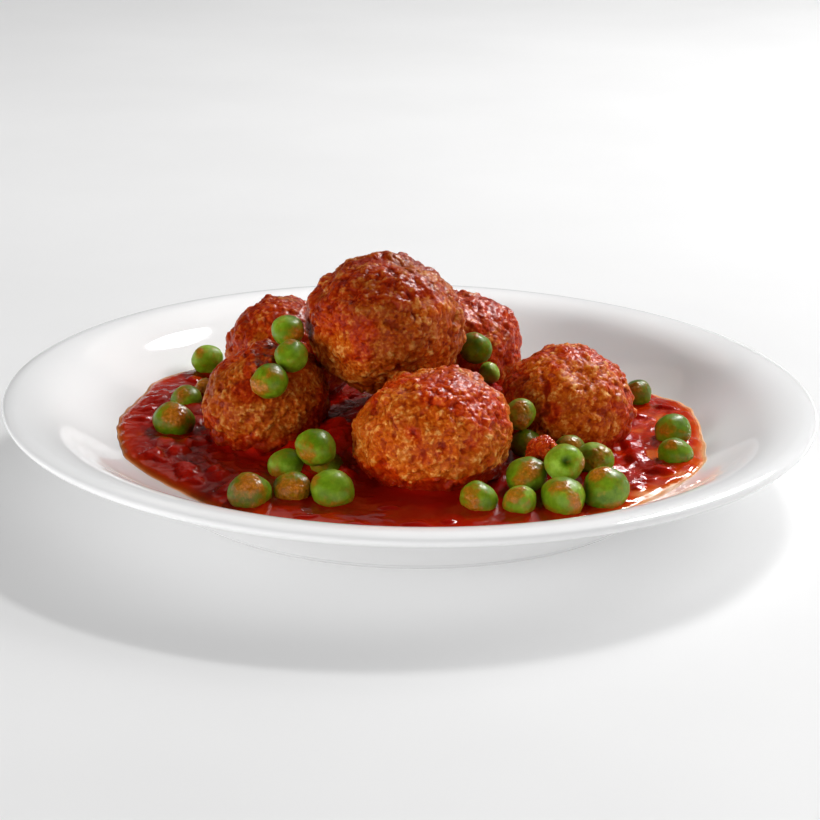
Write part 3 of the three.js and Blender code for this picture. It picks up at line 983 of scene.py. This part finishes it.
# Lumps of soft tomato: [x, y, half length, half width, degrees turned, height].
SAUCE_LUMPS = [
    [-13, -62, 4.6, 1.5, 5, 2.8],
    [2, -61, 3.6, 1.3, -6, 3.2],
    [10, -59, 2.6, 1.1, 14, 3.6],
    [-24, -58, 3.8, 1.4, 12, 2.6],
    [-4, -54, 3.2, 1.2, -14, 2.6],
    [-69, 20.5, 4.0, 2.0, 25, 1.7],
    [-70.5, 13.0, 3.4, 2.0, 35, 1.6],
    [-71, 4.5, 3.6, 2.0, 30, 1.7],
    [-65, -21.5, 3.6, 2.8, 60, 2.1],
    [-58.5, -18.5, 3.2, 2.8, 0, 1.9],
    [-56.5, -27.5, 3.4, 2.4, -20, 1.7],
    [-53, -35.5, 2.6, 1.8, 0, 1.5],
    [-49, -29.5, 2.6, 2.0, 40, 1.4],
    [-43, -38.5, 2.4, 1.8, 10, 1.2],
    [69, 20.5, 4.2, 1.8, -25, 1.6],
    [61.5, 15, 2.6, 1.4, 0, 1.2],
    [63, -28, 3.0, 2.6, 20, 2.2],
    [58.5, -19.5, 2.6, 3.8, 20, 1.8],
    [55.5, -30, 2.6, 2.2, -30, 1.6],
    [57, -38, 2.4, 1.8, 30, 1.4],
    [24, -60, 3.4, 1.8, 5, 1.4],
    [16.5, -58.5, 2.6, 1.6, -10, 1.2],
    [-8, -57, 5.5, 1.3, 14, 0.7],
    [-60, 38, 4.0, 2.4, -50, 1.6],
]
# Places where it is thin and watery: [x, y, spread, how much].
SAUCE_THIN = [
    [-70, -7, 2.5, 0.6],
    [-22, -66, 8, 0.5],
    [-38, -60, 5, 0.35],
    [65, 12, 8, 1.0],
    [61, 5, 7, 1.0],
    [62, -14, 12, 0.95],
    [58, -41, 4, 1.0],
    [66, -36, 6, 1.0],
]
# The watery juice that seeps out beyond the outline: [degrees, width, reach].
SAUCE_SEEPS = [[-34, 9, 3.0], [-8, 12, 1.2], [22, 12, 0.8], [-140, 16, 0.8], [170, 30, 0.5], [95, 40, 0.5]]
SAUCE_SEEP = 0.3
SAUCE_FILM = 0.16  # thickness of that juice
THINNEST_SAUCE = 0.3  # within the outline
SAUCE_CELLS = 280
SAUCE_SKIRT = 1.6  # width over which the edge rounds down to the plate
SAUCE_UNDERSIDE = [0.97, 0.9, 0.8, 0.68, 0.5, 0.25]
# The outline wanders, as seen on a circle of this radius.
OUTLINE_CIRCLE = 40
OUTLINE_RIPPLES = [[0.9, 7.0, 1], [0.5, 2.5, 2]]
SEEP_RIPPLES = [[0.5, 3.0, 3]]
# Powers of the distance from the middle, which is 1 at the outline. The higher the power, the
# nearer to the outline its effect: the rise to the rim, and the end of ripples and of lumps.
RISE_POWER = 6
RIPPLES_POWER = 4
LUMPS_POWER = 14
LUMP_BLUNT = 0.8
# The smooth part of the pool: where it starts and is full, in y and in distance from the middle.
CALM_FRONT = (-34, -44)
CALM_SIDES = (46, 34)
CALM_SHARE = 0.75
PULP_BEND = (5.0, 1.6, 3)
PULP_GRAINS = (6.0, 2.2, PULP_BEND)
PULP_MARKS = (0.4, 0.85)
PULP_HEIGHT = 1.5
BITS = (2.2, 1.5, (2.5, 0.8, 12))
BIT_MARKS = (0.45, 0.7)
BIT_HEIGHT = 0.22
# Ridges are given as (size, seed).
STREAKS = (3.4, 4)
STREAK_HEIGHT = 0.42
STREAK_LENGTH = 3  # how much longer than wide the streaks are
STREAK_BEND = (6.0, 1.4, 4)
WRINKLES = (2.6, 9)
WRINKLE_HEIGHT = 0.1
POOL_RIPPLES = [[0.5, 13.0, 5], [0.3, 5.0, 6]]
LARGE_HALF = 10  # what is wider than this is a meatball, for the sauce that climbs it
CLIMB_REACH = 0.9
BALL_CLIMB = 0.9
PEA_CLIMB = 0.45
LEAST_SECTION = 0.05  # of what stands in it, as a share of the widest, squared
WATERY_RIPPLES = [[0.6, 4.0, 10]]
PULP_THICKENS = 0.7  # how much less watery it is on pulp
WATER_PALES = 0.9  # how much thinner it looks where it is watery
PULP_SHOWN = 0.7  # what the material is told of pulp and of bits
BITS_SHOWN = 0.3
SAUCE_SUNK = 0.05  # the underside reaches this far into the plate, so that no gap shows


def lobes(angle, rows):
    """The sum of smooth bulges given as [degrees, width, reach], at angles in radians."""
    total = np.zeros(len(angle))
    for middle, width, amount in rows:
        turn = (np.degrees(angle) - middle + 180) % 360 - 180
        total += amount * np.exp(-((turn / width) ** 2))
    return total


def sauce_reach(angle):
    even = SAUCE_RADIUS + SAUCE_STRETCH * np.cos(2 * angle) + SAUCE_LEAN * np.sin(angle)
    return even + lobes(angle, SAUCE_LOBES)


def flat(x, y):
    """Points at height 0."""
    return np.stack([x, y, np.zeros(len(x))], axis=1)


def bell(x, y, spread):
    """A round soft swell of height 1, at x and y from its middle."""
    return np.exp(-(x**2 + y**2) / (2 * spread**2))


def lumps_at(x, y, rows):
    """Height of the highest of the rounded lumps at each place."""
    total = np.zeros(len(x))
    for lump_x, lump_y, length, width, degrees, height in rows:
        turn = math.radians(degrees)
        along = ((x - lump_x) * math.cos(turn) + (y - lump_y) * math.sin(turn)) / length
        across = ((y - lump_y) * math.cos(turn) - (x - lump_x) * math.sin(turn)) / width
        total = np.maximum(total, height * np.clip(1 - along**2 - across**2, 0, 1) ** LUMP_BLUNT)
    return total


def disc_grid(cells_across):
    """(x, y) of a square grid bent into a unit disc, with even cells, ring by ring."""
    line = np.linspace(-1, 1, cells_across + 1)
    a, b = np.meshgrid(line, line, indexing="ij")
    wide = np.abs(a) >= np.abs(b)
    radius = np.where(wide, a, b)
    safe = np.where(radius == 0, 1, radius)
    angle = np.where(wide, math.pi / 4 * b / safe, math.pi / 2 - math.pi / 4 * a / safe)
    return radius * np.cos(angle), radius * np.sin(angle)


def stands_in_sauce():
    """(middle, half sizes) of each piece that stands in the sauce."""
    standing = [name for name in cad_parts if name.startswith(("meatball", "pea", "tomato"))]
    standing.remove("meatball_top")
    return [middle_and_half(name) for name in standing]


def make_sauce():
    x, y = (part.ravel() for part in disc_grid(SAUCE_CELLS))
    angle = np.arctan2(y, x)
    circle = flat(OUTLINE_CIRCLE * np.cos(angle), OUTLINE_CIRCLE * np.sin(angle))
    reach = sauce_reach(angle) + ripples(circle, OUTLINE_RIPPLES)
    seep = (SAUCE_SEEP + lobes(angle, SAUCE_SEEPS)) * (1 + ripples(circle, SEEP_RIPPLES))
    radius = np.hypot(x, y) * (reach + seep)
    x, y = radius * np.cos(angle), radius * np.sin(angle)
    share = np.minimum(radius / reach, 1)
    ground = flat(x, y)

    rim = plate_top(reach) + SAUCE_EDGE
    z = SAUCE_LEVEL + (rim - SAUCE_LEVEL) * share**RISE_POWER
    for mound_x, mound_y, height, spread in SAUCE_MOUNDS:
        z += height * bell(x - mound_x, y - mound_y, spread)

    # Smooth in front, elsewhere lumpy with tomato pulp and drawn into streaks along its edge.
    calm = smoothstep(*CALM_FRONT, y) * smoothstep(*CALM_SIDES, np.abs(x))
    lumpy = (1 - CALM_SHARE * calm) * (1 - share**LUMPS_POWER)
    pulp, mark = grains(ground, *PULP_GRAINS, 7)
    pulp *= PULP_HEIGHT * smoothstep(*PULP_MARKS, mark) * (1 - calm)
    bent = warp(ground, *PULP_BEND)
    pulp = np.maximum(pulp, lumps_at(bent[:, 0], bent[:, 1], SAUCE_LUMPS))
    bits, mark = grains(ground, *BITS, 8)
    bits = bits**BLUNT * smoothstep(*BIT_MARKS, mark)
    around = flat(radius, np.arctan2(x, -y) * SAUCE_RADIUS / STREAK_LENGTH)
    fine = STREAK_HEIGHT * ridges(warp(around, *STREAK_BEND), *STREAKS)
    fine += WRINKLE_HEIGHT * ridges(bent, *WRINKLES) + BIT_HEIGHT * bits
    z += (1 - share**RIPPLES_POWER) * ripples(ground, POOL_RIPPLES) + lumpy * (pulp + fine)

    # The sauce climbs a little where something stands in it.
    for middle, half in stands_in_sauce():
        section = np.sqrt(np.clip(1 - ((z - middle[2]) / half[2]) ** 2, LEAST_SECTION, 1))
        size = (half[0] + half[1]) / 2 * section
        away = np.hypot(x - middle[0], y - middle[1]) - size
        climb = BALL_CLIMB if half[0] > LARGE_HALF else PEA_CLIMB
        touching = np.abs(z - middle[2]) < half[2]
        z += np.where(touching, climb * np.exp(-np.clip(away, 0, None) / CLIMB_REACH), 0)

    # Its edge rounds down to the plate, and to the juice that lies round it.
    base = plate_top(radius)
    skirt = np.clip((reach - radius) / SAUCE_SKIRT, 0, 1)
    film = SAUCE_FILM * smoothstep(0, 1, (reach + seep - radius) / seep)
    depth = np.maximum(z - base, THINNEST_SAUCE) * np.sqrt(1 - (1 - skirt) ** 2)
    depth = np.maximum(depth, film)

    across = SAUCE_CELLS + 1
    index = np.arange(across * across).reshape(across, across)
    quads = np.stack([index[:-1, :-1], index[1:, :-1], index[1:, 1:], index[:-1, 1:]], axis=-1)
    faces = quads.reshape(-1, 4).tolist()
    points = np.stack([x, y, base + depth], axis=1)
    edge = np.concatenate([index[:-1, 0], index[-1, :-1], index[:0:-1, -1], index[0, :0:-1]])
    points[edge, 2] -= SAUCE_SUNK

    # The underside lies on the plate, in rings drawn in from the edge.
    ring = edge
    for step in SAUCE_UNDERSIDE:
        inward = points[edge] * (step, step, 1)
        inward[:, 2] = plate_top(radius[edge] * step) - SAUCE_SUNK
        below = np.arange(len(points), len(points) + len(edge))
        points = np.concatenate([points, inward])
        faces += np.stack([ring, below, np.roll(below, -1), np.roll(ring, -1)], axis=-1).tolist()
        ring = below
    faces.append(ring[::-1].tolist())

    mesh = bpy.data.meshes.new("sauce_pool")
    mesh.from_pydata((points * MM).tolist(), [], faces)
    thin = np.zeros(len(x))
    for thin_x, thin_y, spread, amount in SAUCE_THIN:
        thin = np.maximum(thin, amount * bell(x - thin_x, y - thin_y, spread))
    watery = np.clip(thin * (1 + ripples(ground, WATERY_RIPPLES)), 0, 1)
    watery *= 1 - PULP_THICKENS * np.clip(pulp, 0, 1)
    extra = np.zeros(len(points) - len(x))
    shown = np.clip(PULP_SHOWN * pulp + BITS_SHOWN * bits, 0, 1) * lumpy
    note(mesh, "depth", np.concatenate([depth * (1 - WATER_PALES * watery), extra]))
    note(mesh, "lumpy", np.concatenate([lumpy, extra]))
    note(mesh, "pulp", np.concatenate([shown, extra]))
    piece(mesh, [sauce_look()], "sauce", "sauce")


# ---------------------------------------------------------------------------
# Tomato piece
# ---------------------------------------------------------------------------
TOMATO_CUTS = 32
CLUMPS = (1.7, 1.2, (2.5, 0.8, 3))
CLUMP_HEIGHT = 0.8
CLUMP_LOWEST = 0.4  # the lowest clump, as a share of the highest
CLUMP_GRAINS = (0.8, 1.2, (1.5, 0.4, 6))
CLUMP_GRAIN_HEIGHT = 0.35
TOMATO_RIPPLES = [[0.6, 3.2, 1], [0.2, 1.0, 2]]
TOMATO_SUNK = 0.15
CLUMPS_SHOWN = 0.6  # what the material is told of clumps and of their grains
CLUMP_GRAINS_SHOWN = 0.7


def make_tomato():
    name = "tomato_piece"
    middle = middle_and_half(name)[0]
    mesh = unit_sphere(TOMATO_CUTS).copy()
    mesh.name = "tomato_flesh"
    directions = read(mesh)
    reach = reach_of(smoothed(name), middle, directions)
    skin = directions * reach[:, None]
    clumps, mark = grains(skin, *CLUMPS, 5)
    clumps = clumps**BLUNT * (CLUMP_LOWEST + (1 - CLUMP_LOWEST) * mark)
    small, mark = grains(skin, *CLUMP_GRAINS, 6)
    small *= mark
    relief = ripples(skin, TOMATO_RIPPLES) + CLUMP_HEIGHT * clumps + CLUMP_GRAIN_HEIGHT * small
    write(mesh, middle + skin + directions * (relief - TOMATO_SUNK)[:, None])
    note(mesh, "pulp", CLUMPS_SHOWN * clumps + CLUMP_GRAINS_SHOWN * small)
    piece(mesh, [tomato_look()], "tomato", name)


# ---------------------------------------------------------------------------
# The scene
# ---------------------------------------------------------------------------
make_camera()
make_lights()
make_floor()
make_plate()

meatball_material = meatball_look()
pea_material = pea_look()

for ball, facts in MEATBALLS.items():
    make_meatball(ball, **facts)
for count in range(1, PEA_COUNT + 1):
    make_pea(count)
make_sauce()
make_tomato()
